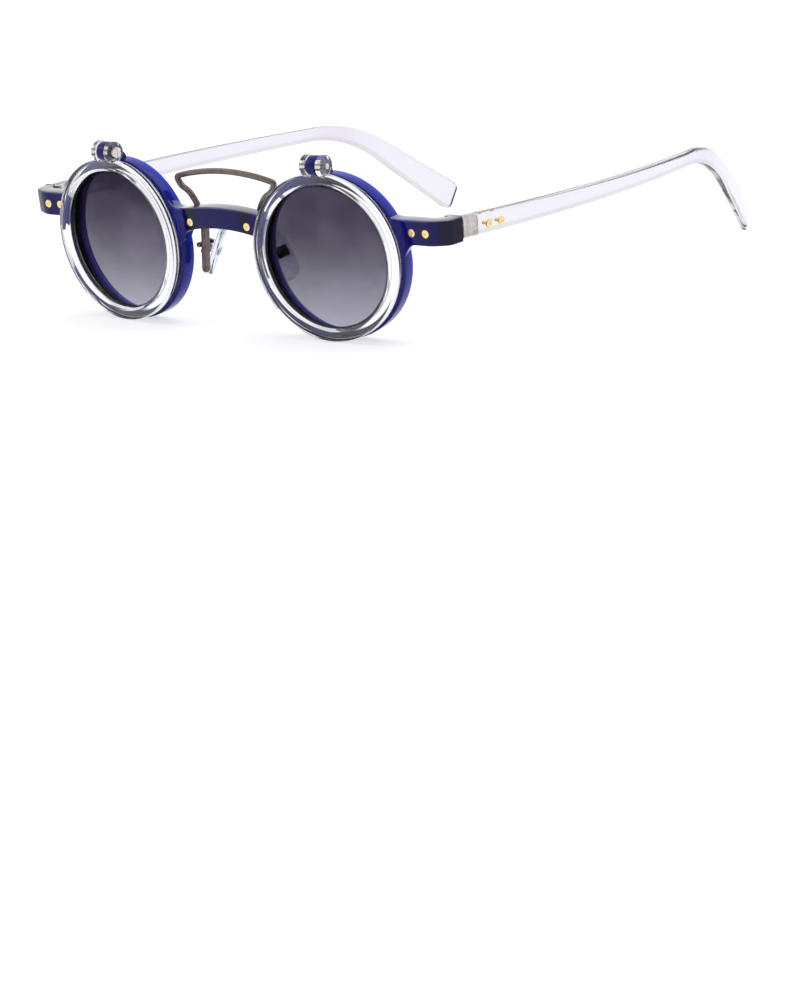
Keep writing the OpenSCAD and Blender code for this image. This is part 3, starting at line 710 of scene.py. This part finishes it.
class GLASSES_OT_rings(bpy.types.Operator):
    """Clear flip-up rings with their ears"""

    bl_idname = "glasses.rings"
    bl_label = "Clear rings"

    def execute(self, context):
        corners = [[RING_IN, RING_MID - 0.55], [RING_IN + 0.75, RING_FRONT], [RING_R - 0.1, RING_FRONT],
                   [RING_R, RING_MID - 0.25], [RING_R - 0.22, RING_MID], [RING_R, RING_MID + 0.25],
                   [RING_R - 0.5, RING_BACK], [RING_IN + 0.6, RING_BACK], [RING_IN, RING_MID + 0.55]]
        profile = rounded_line(corners, [0.12, 0.2, 0.25, 0.1, 0.08, 0.1, 0.3, 0.2, 0.12], 6)
        # The corners where painted shade shows as dark lines, with half the width of each line
        lines = ((corners[4], 0.1), (corners[7], 0.1), (corners[6], 0.12), (corners[8], 0.12))
        away = [np.hypot(profile[:, 0] - r, profile[:, 1] - y) / reach for (r, y), reach in lines]
        painted_dark_lines = np.exp(-np.min(away, 0) ** 2)
        ring = turned(profile) + np.array([0, 0, RING_Z])
        angle = np.linspace(0, 2 * math.pi, 72, endpoint=False)
        disc = np.stack([RING_MID + EAR_R * np.cos(angle), AXIS_Z + EAR_R * np.sin(angle)], -1)
        ear = along_x(block(disc, EAR_W / 2, 0.22)) + np.array([EAR_X + EAR_W / 2, 0, 0])
        for name, side in SIDES:
            shells = [shell(sided(stand(from_rim(ring)), side), ring_rows=True, line=painted_dark_lines[None])]
            for end in (1.0, -1.0):
                shells.append(shell(sided(stand(from_rim(sided(ear, end))), side), capped=False, line=0.0))
            build(f"flip_ring_{name}_clear", shells, "flip_" + name, ["flip_ring_" + name], "clear_acetate")
        return {"FINISHED"}


def lens_part(radius, middle, thickness, bulge):
    """A lens turned about its axis: both faces are parabolas, depth = middle -+ half the thickness less
    bulge times (1 - (r / radius) squared), meeting in a rounded edge."""
    r = radius * np.sin(np.linspace(0, math.pi / 2, 24))
    crown = bulge * (1 - (r / radius) ** 2)
    lip = ramp(r / radius - 0.985, 0.015) ** 2 * thickness * 0.35
    front = np.stack([r, middle - thickness / 2 - crown + lip], -1)
    back = np.stack([r, middle + thickness / 2 - crown - lip], -1)[::-1]
    return turned(np.concatenate([front, back]))


class GLASSES_OT_lenses(bpy.types.Operator):
    """Tinted lenses in the rings and clear lenses in the rims"""

    bl_idname = "glasses.lenses"
    bl_label = "Lenses"

    def execute(self, context):
        sizes = context.scene.glasses_sizes
        tinted = lens_part(RING_IN + RING_GROOVE, RING_MID, TINT_T, sizes.tint_bulge * 1000)
        radius = np.hypot(tinted[..., 0], tinted[..., 2])
        # Painted shade: a dark line round the edge where the lens enters the ring
        line = ramp(radius - (RING_IN - 0.18), 0.1)
        fall = 1 - ramp(1 - tinted[..., 2] / RING_IN, 2) ** 2.1
        tinted = tinted + np.array([0, 0, RING_Z])
        clear = lens_part(RIM_IN + RIM_GROOVE, LENS_Y, BASE_T, sizes.base_bulge * 1000)
        for name, side in SIDES:
            place = sided(stand(from_rim(tinted)), side)
            build(f"flip_lens_{name}_tinted", [shell(place, True, False, line=line, fall=fall)],
                  "flip_" + name, ["flip_lens_" + name], "tinted_lens")
            place = sided(stand(from_rim(clear)), side)
            build(f"base_lens_{name}_curved", [shell(place, True, False)], "front",
                  ["base_lens_" + name], "clear_lens")
        return {"FINISHED"}


class GLASSES_OT_metal(bpy.types.Operator):
    """Metal bridge: top bar, legs, riveted plates and the bars in front of the pads"""

    bl_idname = "glasses.metal"
    bl_label = "Metal bridge"

    def execute(self, context):
        edge = context.scene.glasses_sizes.metal_edge * 1000
        curve = (BAR_HALF ** 2 + BAR_RISE ** 2) / (2 * BAR_RISE)
        x = np.linspace(0, BAR_HALF - 1.0, 12)
        arc = np.stack([x, BAR_Z + BAR_RISE - curve + np.sqrt(curve ** 2 - x ** 2)], -1)
        leg = [[BAR_HALF, BAR_Z - 0.1], [13.55, 13.2], [11.3, 11.9], [9.95, 10.0], [9.15, 8.4], [8.9, 6.0]]
        cuts = [0.3] * len(x) + [0.85, 0.9, 1.0, 0.9, 0.7, 0.2]
        half = resampled(rounded_line(np.concatenate([arc, leg]), cuts, 8, closed=False), 110)
        line = np.concatenate([half[::-1] * [-1, 1], half[1:]])
        ahead = np.gradient(line, axis=0)
        ahead = ahead / np.linalg.norm(ahead, axis=1)[:, None]
        path = np.stack([line[:, 0], np.full(len(line), METAL_MID), line[:, 1]], -1)
        across = np.stack([-ahead[:, 1], np.zeros(len(line)), ahead[:, 0]], -1)
        points, _ = carried(path, across, -FORWARD, WIRE_W, METAL_T, edge)
        shells = [shell(stand(points))]
        plate = block(rounded_line([[6.8, 4.4], [9.8, 4.4], [10.1, 8.2], [7.6, 8.2]], 0.5), METAL_T / 2, 0.3)
        plate = along_y(plate) + np.array([0, METAL_MID, 0])
        turn = np.linspace(0, math.pi, 16)
        low = np.stack([-PAD_BAR_R * np.cos(turn), PAD_BAR_LOW - PAD_BAR_R * np.sin(turn)], -1)
        high = [[PAD_BAR_R, PAD_BAR_HIGH], [-PAD_BAR_R, PAD_BAR_HIGH]]
        x, z, through = np.moveaxis(block(np.concatenate([low, high]), METAL_T / 2, 0.35), -1, 0)
        c, s = math.cos(PAD_BAR_TILT), math.sin(PAD_BAR_TILT)
        bar = np.stack([PAD_BAR_PLACE[0] + x * c - z * s, METAL_MID + through,
                        PAD_BAR_PLACE[1] + x * s + z * c], -1)
        for _, side in SIDES:
            shells.append(shell(sided(stand(plate), side), capped=False))
            shells.append(shell(sided(stand(bar), side), capped=False))
        build("metal_bridge_rounded", shells, "front", ["metal_bridge"], "gunmetal")
        return {"FINISHED"}


class GLASSES_OT_pads(bpy.types.Operator):
    """Clear nose pads on their brackets"""

    bl_idname = "glasses.pads"
    bl_label = "Nose pads"

    def execute(self, context):
        crown = context.scene.glasses_sizes.pad_crown * 1000
        end = (PAD_L - PAD_D) / 2
        turn = np.linspace(-math.pi / 2, math.pi / 2, 24)
        upper = np.stack([-PAD_D / 2 * np.sin(turn), end + PAD_D / 2 * np.cos(turn)], -1)
        outline = np.concatenate([upper, -upper])
        pad = along_x(block(outline, PAD_T / 2 - crown, 0.75, crown, 6))
        stem = rounded_line([[0.7, -0.85], [2.8, -0.85], [2.8, 0.85], [0.7, 0.85]], [0.05, 0.8, 0.8, 0.05])
        stem = along_y(block(stem, 0.75, 0.1))
        for name, side in SIDES:
            shells = [shell(sided(stand(from_pad(pad)), side), capped=False),
                      shell(sided(stand(from_pad(stem)), side), capped=False)]
            build(f"nose_pad_{name}_soft", shells, "pad_" + name, ["nose_pad_" + name], "clear_pad")
            finish_node("pad_arm_" + name, "gunmetal")
            finish_node("pad_pin_" + name, "steel")
        return {"FINISHED"}


class GLASSES_OT_rivets(bpy.types.Operator):
    """Gold rivets through the bridge, the end pieces and the temples"""

    bl_idname = "glasses.rivets"
    bl_label = "Rivets"

    def execute(self, context):
        front = BRIDGE_FRONT + BRIDGE_CURVE - math.sqrt(BRIDGE_CURVE ** 2 - BRIDGE_RIVET[0] ** 2)
        points, centre = rivet_part(front - RIVET_DOME, METAL_FRONT + METAL_T + 0.2)
        points = points + np.array([BRIDGE_RIVET[0], 0, BRIDGE_RIVET[1]])
        shells = [shell(sided(stand(points), side), True, False, centre=centre[None]) for _, side in SIDES]
        build("bridge_rivets_domed", shells, "front", ["bridge_rivets"], "gold")
        points, centre = rivet_part(*END_RIVET_ENDS)
        shells = []
        for _, side in SIDES:
            for x, z in END_RIVETS:
                place = sided(stand(points + np.array([x, 0, z])), side)
                shells.append(shell(place, True, False, centre=centre[None]))
        build("end_piece_rivets_domed", shells, "front", ["end_piece_rivets"], "gold")
        for name, side in SIDES:
            shells = []
            for along in TEMPLE_RIVETS:
                face = TEMPLE_OUT + TEMPLE_T / 2 - along ** 2 / (2 * BOW_R) + RIVET_DOME
                points, centre = rivet_part(-face, TEMPLE_ROD_END, TEMPLE_ROD_R)
                points = points[..., [1, 0, 2]] * [-1, 1, 1] + np.array([0, along, TEMPLE_RIVET_Z])
                shells.append(shell(sided(from_splay(points), side), True, False, centre=centre[None]))
            build(f"temple_rivets_{name}_domed", shells, "temple_" + name, ["temple_rivets_" + name], "gold")
        return {"FINISHED"}


class GLASSES_OT_metalwork(bpy.types.Operator):
    """Hinges and screws, which keep their modelled shape"""

    bl_idname = "glasses.metalwork"
    bl_label = "Hinges and screws"

    def execute(self, context):
        for name, _ in SIDES:
            for node in ("front_hinge_", "temple_hinge_", "hinge_screw_", "flip_screw_"):
                finish_node(node + name, "steel")
        return {"FINISHED"}


def temple_line(s):
    """Height line of a temple from the side at the distance s along it: straight, then an arc, then straight.
    Gives y, z and the downward angle."""
    a = np.clip((s - STRAIGHT_L) / BEND_R, 0, BEND)
    e = np.maximum(s - STRAIGHT_L - BEND_R * BEND, 0)
    y = np.minimum(s, STRAIGHT_L) + BEND_R * np.sin(a) + e * math.cos(BEND)
    z = -BEND_R * (1 - np.cos(a)) - e * math.sin(BEND)
    return y, z, a


def temple_plan(y):
    """Middle and half thickness across at the depth y, from the arcs of the outer and the inner face."""
    inner_r = 1 / (1 / BOW_R - 2 * (TEMPLE_T - TIP_T) / (TEMPLE_L ** 2 * 0.9))
    outer = TEMPLE_OUT + TEMPLE_T / 2 - BOW_R + np.sqrt(BOW_R ** 2 - y ** 2)
    inner = TEMPLE_OUT - TEMPLE_T / 2 - inner_r + np.sqrt(inner_r ** 2 - y ** 2)
    return (outer + inner) / 2, (outer - inner) / 2


def temple_part(round_mm):
    """One temple in its own frame: a rounded rectangle of height h(s) and the plan's thickness, carried along
    the side line. Its front end is square to the splay and hollowed round the knuckles. Gives its points,
    their distance along it and how far they face up."""
    start = np.array([0.0, 0.15, 0.4, 0.8, 1.2, 1.6, 2.2, 3.0])
    s = np.concatenate([start, np.linspace(4, STRAIGHT_L, 70), np.linspace(STRAIGHT_L, TEMPLE_L, 46)[1:]])
    tail = TEMPLE_L - TIP_ROUND + TIP_ROUND * np.sin(np.linspace(0, math.pi / 2, 9))
    s = np.concatenate([s[s < TEMPLE_L - TIP_ROUND - 0.1], tail])
    y0, z0, angle = temple_line(s)
    grow = ramp(s - STRAIGHT_L, TEMPLE_L - STRAIGHT_L)
    height = np.where(s < STRAIGHT_L, TEMPLE_H + (WAIST_H - TEMPLE_H) * s / STRAIGHT_L,
                      WAIST_H + (TIP_H - WAIST_H) * grow)
    shrink = np.sqrt(1 - ramp(s - (TEMPLE_L - TIP_ROUND), TIP_ROUND) ** 2)
    _, half = temple_plan(y0 / math.cos(SPLAY))
    inset = TIP_ROUND * (1 - shrink)
    a, b, facing = section(2 * half - 0.8 * inset, height - 1.6 * inset,
                           np.minimum(round_mm, half * 0.9) * (0.45 + 0.55 * shrink), 7)
    cut = ramp(s - TIP_CUT_FROM, TIP_CUT_SPAN)[:, None] * math.tan(TIP_CUT)
    y = y0[:, None] + b * np.sin(angle)[:, None] - b * cut * np.cos(angle)[:, None]
    z = z0[:, None] + b * np.cos(angle)[:, None] + b * cut * np.sin(angle)[:, None]
    x = TEMPLE_OUT + a
    for _ in range(4):
        along = (y + x * math.sin(SPLAY)) / math.cos(SPLAY)
        x = temple_plan(along)[0] + a
    near = np.clip(1 - s / SQUARE_L, 0, 1)[:, None]
    along = along + near * (HINGE_GAP - along[:1])
    reach = np.sqrt(np.maximum(NOTCH_R ** 2 - along ** 2, 0))
    x = np.where(reach > 0, np.maximum(x, reach), x)
    return np.stack([x, along, z], -1), s, facing


class GLASSES_OT_temples(bpy.types.Operator):
    """Clear temples with their ear bends"""

    bl_idname = "glasses.temples"
    bl_label = "Temples"

    def execute(self, context):
        points, s, facing = temple_part(context.scene.glasses_sizes.temple_edge * 1000)
        blush = np.exp(-((s - 101) / 9.0) ** 2)[:, None] * 0.8
        # Painted light lines along the edges: grey on the upper edge, amber on the lower
        upper = ramp(facing - 0.75, 0.2) * 0.35
        lower = ramp(-facing - 0.8, 0.2) * 0.5
        for name, side in SIDES:
            skin = shell(sided(from_splay(points), side), upper=upper, lower=lower, blush=blush)
            build(f"temple_{name}_clear", [skin], "temple_" + name, ["temple_" + name], "clear_temple")
        return {"FINISHED"}


def soft_lamp(name, place, aim, size, watts):
    """A square soft lamp at a place, turned to face a point."""
    lamp = bpy.data.lights.new(name, "AREA")
    lamp.size = size
    lamp.energy = watts
    holder = bpy.data.objects.new(name, lamp)
    back = np.subtract(place, aim) / np.linalg.norm(np.subtract(place, aim))
    right = np.cross(-FORWARD if abs(back[2]) > 0.95 else UP, back)
    right = right / np.linalg.norm(right)
    up = np.cross(back, right)
    holder.matrix_world = Matrix([[right[k], up[k], back[k], place[k]] for k in range(3)] + [[0, 0, 0, 1]])
    bpy.context.scene.collection.objects.link(holder)


def combined(tree, operation, a, b):
    """One sum on two values, each a number or another node's output."""
    node = tree.nodes.new("ShaderNodeMath")
    node.operation = operation
    for socket, value in zip(node.inputs, (a, b)):
        if isinstance(value, float):
            socket.default_value = value
        else:
            tree.links.new(value, socket)
    return node.outputs["Value"]


def seen_directly(tree):
    """1 for rays from the camera, in reflections and through glass, else 0."""
    path = tree.nodes.new("ShaderNodeLightPath")
    glass = combined(tree, "MAXIMUM", path.outputs["Is Glossy Ray"], path.outputs["Is Transmission Ray"])
    return combined(tree, "MAXIMUM", path.outputs["Is Camera Ray"], glass)


def white_backdrop(level):
    """World: white to the camera. Glass and metal also see a dark card high up on the side the camera stands
    on, and the rest of the light comes at the given level."""
    world = bpy.data.worlds.new("studio")
    bpy.context.scene.world = world
    world.use_nodes = True
    tree = world.node_tree
    shade = tree.nodes["Background"]
    shade.inputs["Color"].default_value = (1, 1, 1, 1)
    place = tree.nodes.new("ShaderNodeTexCoord").outputs["Generated"]
    card = None
    for direction, low, high in CARD:
        along = tree.nodes.new("ShaderNodeVectorMath")
        along.operation = "DOT_PRODUCT"
        along.inputs[1].default_value = direction
        tree.links.new(place, along.inputs[0])
        part = tree.nodes.new("ShaderNodeMapRange")
        part.interpolation_type = "SMOOTHSTEP"
        part.inputs["From Min"].default_value = low
        part.inputs["From Max"].default_value = high
        part.inputs["To Max"].default_value = 1.0 if card else CARD_DARK
        tree.links.new(along.outputs["Value"], part.inputs["Value"])
        result = part.outputs["Result"]
        card = combined(tree, "MULTIPLY", result, card) if card else result
    bright = combined(tree, "SUBTRACT", 1.0, card)
    camera = tree.nodes.new("ShaderNodeLightPath").outputs["Is Camera Ray"]
    seen = tree.nodes.new("ShaderNodeMix")
    seen.data_type = "FLOAT"
    tree.links.new(seen_directly(tree), seen.inputs[0])
    tree.links.new(combined(tree, "MULTIPLY", bright, level), seen.inputs[2])
    tree.links.new(combined(tree, "MAXIMUM", bright, camera), seen.inputs[3])
    tree.links.new(seen.outputs[0], shade.inputs["Strength"])


def white_floor():
    """Wide white floor that keeps the shadow and adds a little light of its own to the camera's rays."""
    mesh = bpy.data.meshes.new("floor")
    corners = [(a * FLOOR_HALF, b * FLOOR_HALF, 0) for a, b in ((-1, -1), (1, -1), (1, 1), (-1, 1))]
    mesh.from_pydata(corners, [], [(0, 1, 2, 3)])
    material = bpy.data.materials.new("white_floor")
    material.use_nodes = True
    tree = material.node_tree
    shader = tree.nodes["Principled BSDF"]
    settings = {"Roughness": 0.9, "Specular IOR Level": 0.0, "Base Color": (0.62, 0.62, 0.66, 1),
                "Emission Color": (1, 1, 1, 1)}
    for key, value in settings.items():
        shader.inputs[key].default_value = value
    glow = combined(tree, "MULTIPLY", seen_directly(tree), FLOOR_GLOW)
    tree.links.new(glow, shader.inputs["Emission Strength"])
    mesh.materials.append(material)
    floor = bpy.data.objects.new("floor", mesh)
    bpy.context.scene.collection.objects.link(floor)


def photo_camera():
    """The fitted camera: three axes from its angles about the leaning front, turned back by the lean, and
    its place from the shift."""
    azimuth, elevation, roll = (math.radians(k) for k in CAMERA_ANGLES)
    ca, sa, ce, se = math.cos(azimuth), math.sin(azimuth), math.cos(elevation), math.sin(elevation)
    back = np.array([sa * ce, -ca * ce, se])
    right = np.array([ca, sa, 0.0])
    up = np.cross(back, right)
    c, s = math.cos(roll), math.sin(roll)
    axes = np.array([right * c + up * s, up * c - right * s, back])
    place = -axes.T @ np.array(CAMERA_SHIFT)
    lean = np.array([[1, 0, 0], [0, math.cos(LEAN), -math.sin(LEAN)], [0, math.sin(LEAN), math.cos(LEAN)]])
    axes = axes @ lean.T
    place = (lean @ place + np.array([0, -MIDDLE_Y, REST_Z])) / 1000
    camera = bpy.data.cameras.new("camera")
    camera.sensor_width = 36.0
    camera.lens = CAMERA_LENS
    camera.clip_start = 0.05
    camera.clip_end = 20.0
    holder = bpy.data.objects.new("camera", camera)
    holder.matrix_world = Matrix([[*axes[:, k], place[k]] for k in range(3)] + [[0, 0, 0, 1]])
    bpy.context.scene.collection.objects.link(holder)
    bpy.context.scene.camera = holder


class GLASSES_OT_stage(bpy.types.Operator):
    """White floor, soft light and the camera"""

    bl_idname = "glasses.stage"
    bl_label = "Stage"

    def execute(self, context):
        light = context.scene.glasses_light
        white_floor()
        white_backdrop(light.world)
        soft_lamp("overhead", place=(0.1, 0.05, 0.7), aim=(0, 0, 0), size=0.7, watts=light.overhead)
        soft_lamp("window", place=(-0.6, -0.45, 0.5), aim=(0, -0.03, 0.02), size=0.4, watts=light.window)
        photo_camera()
        context.scene.view_settings.view_transform = "Standard"
        return {"FINISHED"}


def length(name, description, default):
    """A length for the panel, in metres."""
    return bpy.props.FloatProperty(name=name, description=description, default=default, min=0, unit="LENGTH",
                                   precision=5)


def shade(name, description, default):
    """A linear colour for the panel."""
    return bpy.props.FloatVectorProperty(name=name, description=description, default=default, size=3,
                                         subtype="COLOR", min=0, max=1)


def amount(name, description, default):
    """A plain number for the panel."""
    return bpy.props.FloatProperty(name=name, description=description, default=default, min=0)


class GlassesSizes(bpy.types.PropertyGroup):
    """Roundings and bulges"""

    front_edge: length("Front edges", "Rounding of the blue front's edges", 0.00045)
    metal_edge: length("Metal edges", "Rounding of the metal bridge's wire", 0.0004)
    temple_edge: length("Temple edges", "Rounding of the temples' edges", 0.0011)
    tint_bulge: length("Tinted lens bulge", "How far the tinted lenses stand forward at their middle", 0.0005)
    base_bulge: length("Clear lens bulge", "How far the clear lenses stand forward at their middle", 0.0011)
    pad_crown: length("Pad crown", "Crown of a nose pad's two faces", 0.00025)


class GlassesColours(bpy.types.PropertyGroup):
    """Colours of the finishes, linear"""

    front: shade("Front", "Faces of the blue front", (0.007, 0.005, 0.115))
    # The front sides, rim walls and front glow below are painted light
    front_side: shade("Front sides", "Sides of the blue front", (0.012, 0.016, 0.26))
    front_rim: shade("Rims", "Faces of the rims", (0.012, 0.006, 0.28))
    front_wall: shade("Rim walls", "Walls of the rims behind the clear lenses", (0.06, 0.045, 0.62))
    front_glow: shade("Front glow", "Back edge of the rims' sides, where light gathers", (0.01, 0.05, 0.85))
    ring: shade("Rings", "Clear rings", (0.97, 0.975, 0.985))
    tint_top: shade("Lens top", "Tinted lenses at the top", (0.036, 0.028, 0.05))
    tint_low: shade("Lens bottom", "Tinted lenses at the bottom", (0.4, 0.385, 0.435))
    temple: shade("Temples", "Clear temples", (0.79, 0.775, 0.825))
    temple_bend: shade("Temple bend", "Blush in the ear bend", (0.72, 0.66, 0.76))
    pad: shade("Pads", "Nose pads", (0.8, 0.84, 0.93))
    metal: shade("Metal bridge", "Plating of the metal bridge", (0.13, 0.1, 0.092))
    steel: shade("Hinges", "Hinges, pins and screws", (0.84, 0.77, 0.72))
    rivet: shade("Rivets", "Rivet heads", (1.0, 0.78, 0.36))


class GlassesLight(bpy.types.PropertyGroup):
    """Levels of the light"""

    world: amount("World", "Level of the white room", 0.75)
    overhead: amount("Overhead", "Lamp above, in watts", 1.6)
    window: amount("Window", "Lamp at the front right, in watts", 0.5)


OPERATORS = (GLASSES_OT_front, GLASSES_OT_rings, GLASSES_OT_lenses, GLASSES_OT_metal, GLASSES_OT_pads,
             GLASSES_OT_rivets, GLASSES_OT_metalwork, GLASSES_OT_temples, GLASSES_OT_stage)
GROUPS = {"glasses_sizes": GlassesSizes, "glasses_colours": GlassesColours, "glasses_light": GlassesLight}


class GLASSES_PT_panel(bpy.types.Panel):
    """Sizes, colours and light, and a button for each piece"""

    bl_label = "Flip-up sunglasses"
    bl_idname = "GLASSES_PT_panel"
    bl_space_type = "VIEW_3D"
    bl_region_type = "UI"
    bl_category = "Glasses"

    def draw(self, context):
        for name, group in GROUPS.items():
            box = self.layout.box()
            for key in group.__annotations__:
                box.prop(getattr(context.scene, name), key)
        for operator in OPERATORS:
            self.layout.operator(operator.bl_idname)


CLASSES = (*GROUPS.values(), *OPERATORS, GLASSES_PT_panel)


def register():
    for cls in CLASSES:
        bpy.utils.register_class(cls)
    for name, group in GROUPS.items():
        setattr(bpy.types.Scene, name, bpy.props.PointerProperty(type=group))


def unregister():
    for name in GROUPS:
        delattr(bpy.types.Scene, name)
    for cls in reversed(CLASSES):
        bpy.utils.unregister_class(cls)


def main():
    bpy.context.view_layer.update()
    register()
    for operator in OPERATORS:
        getattr(bpy.ops.glasses, operator.bl_idname.split(".")[1])()


if __name__ == "__main__":
    main()
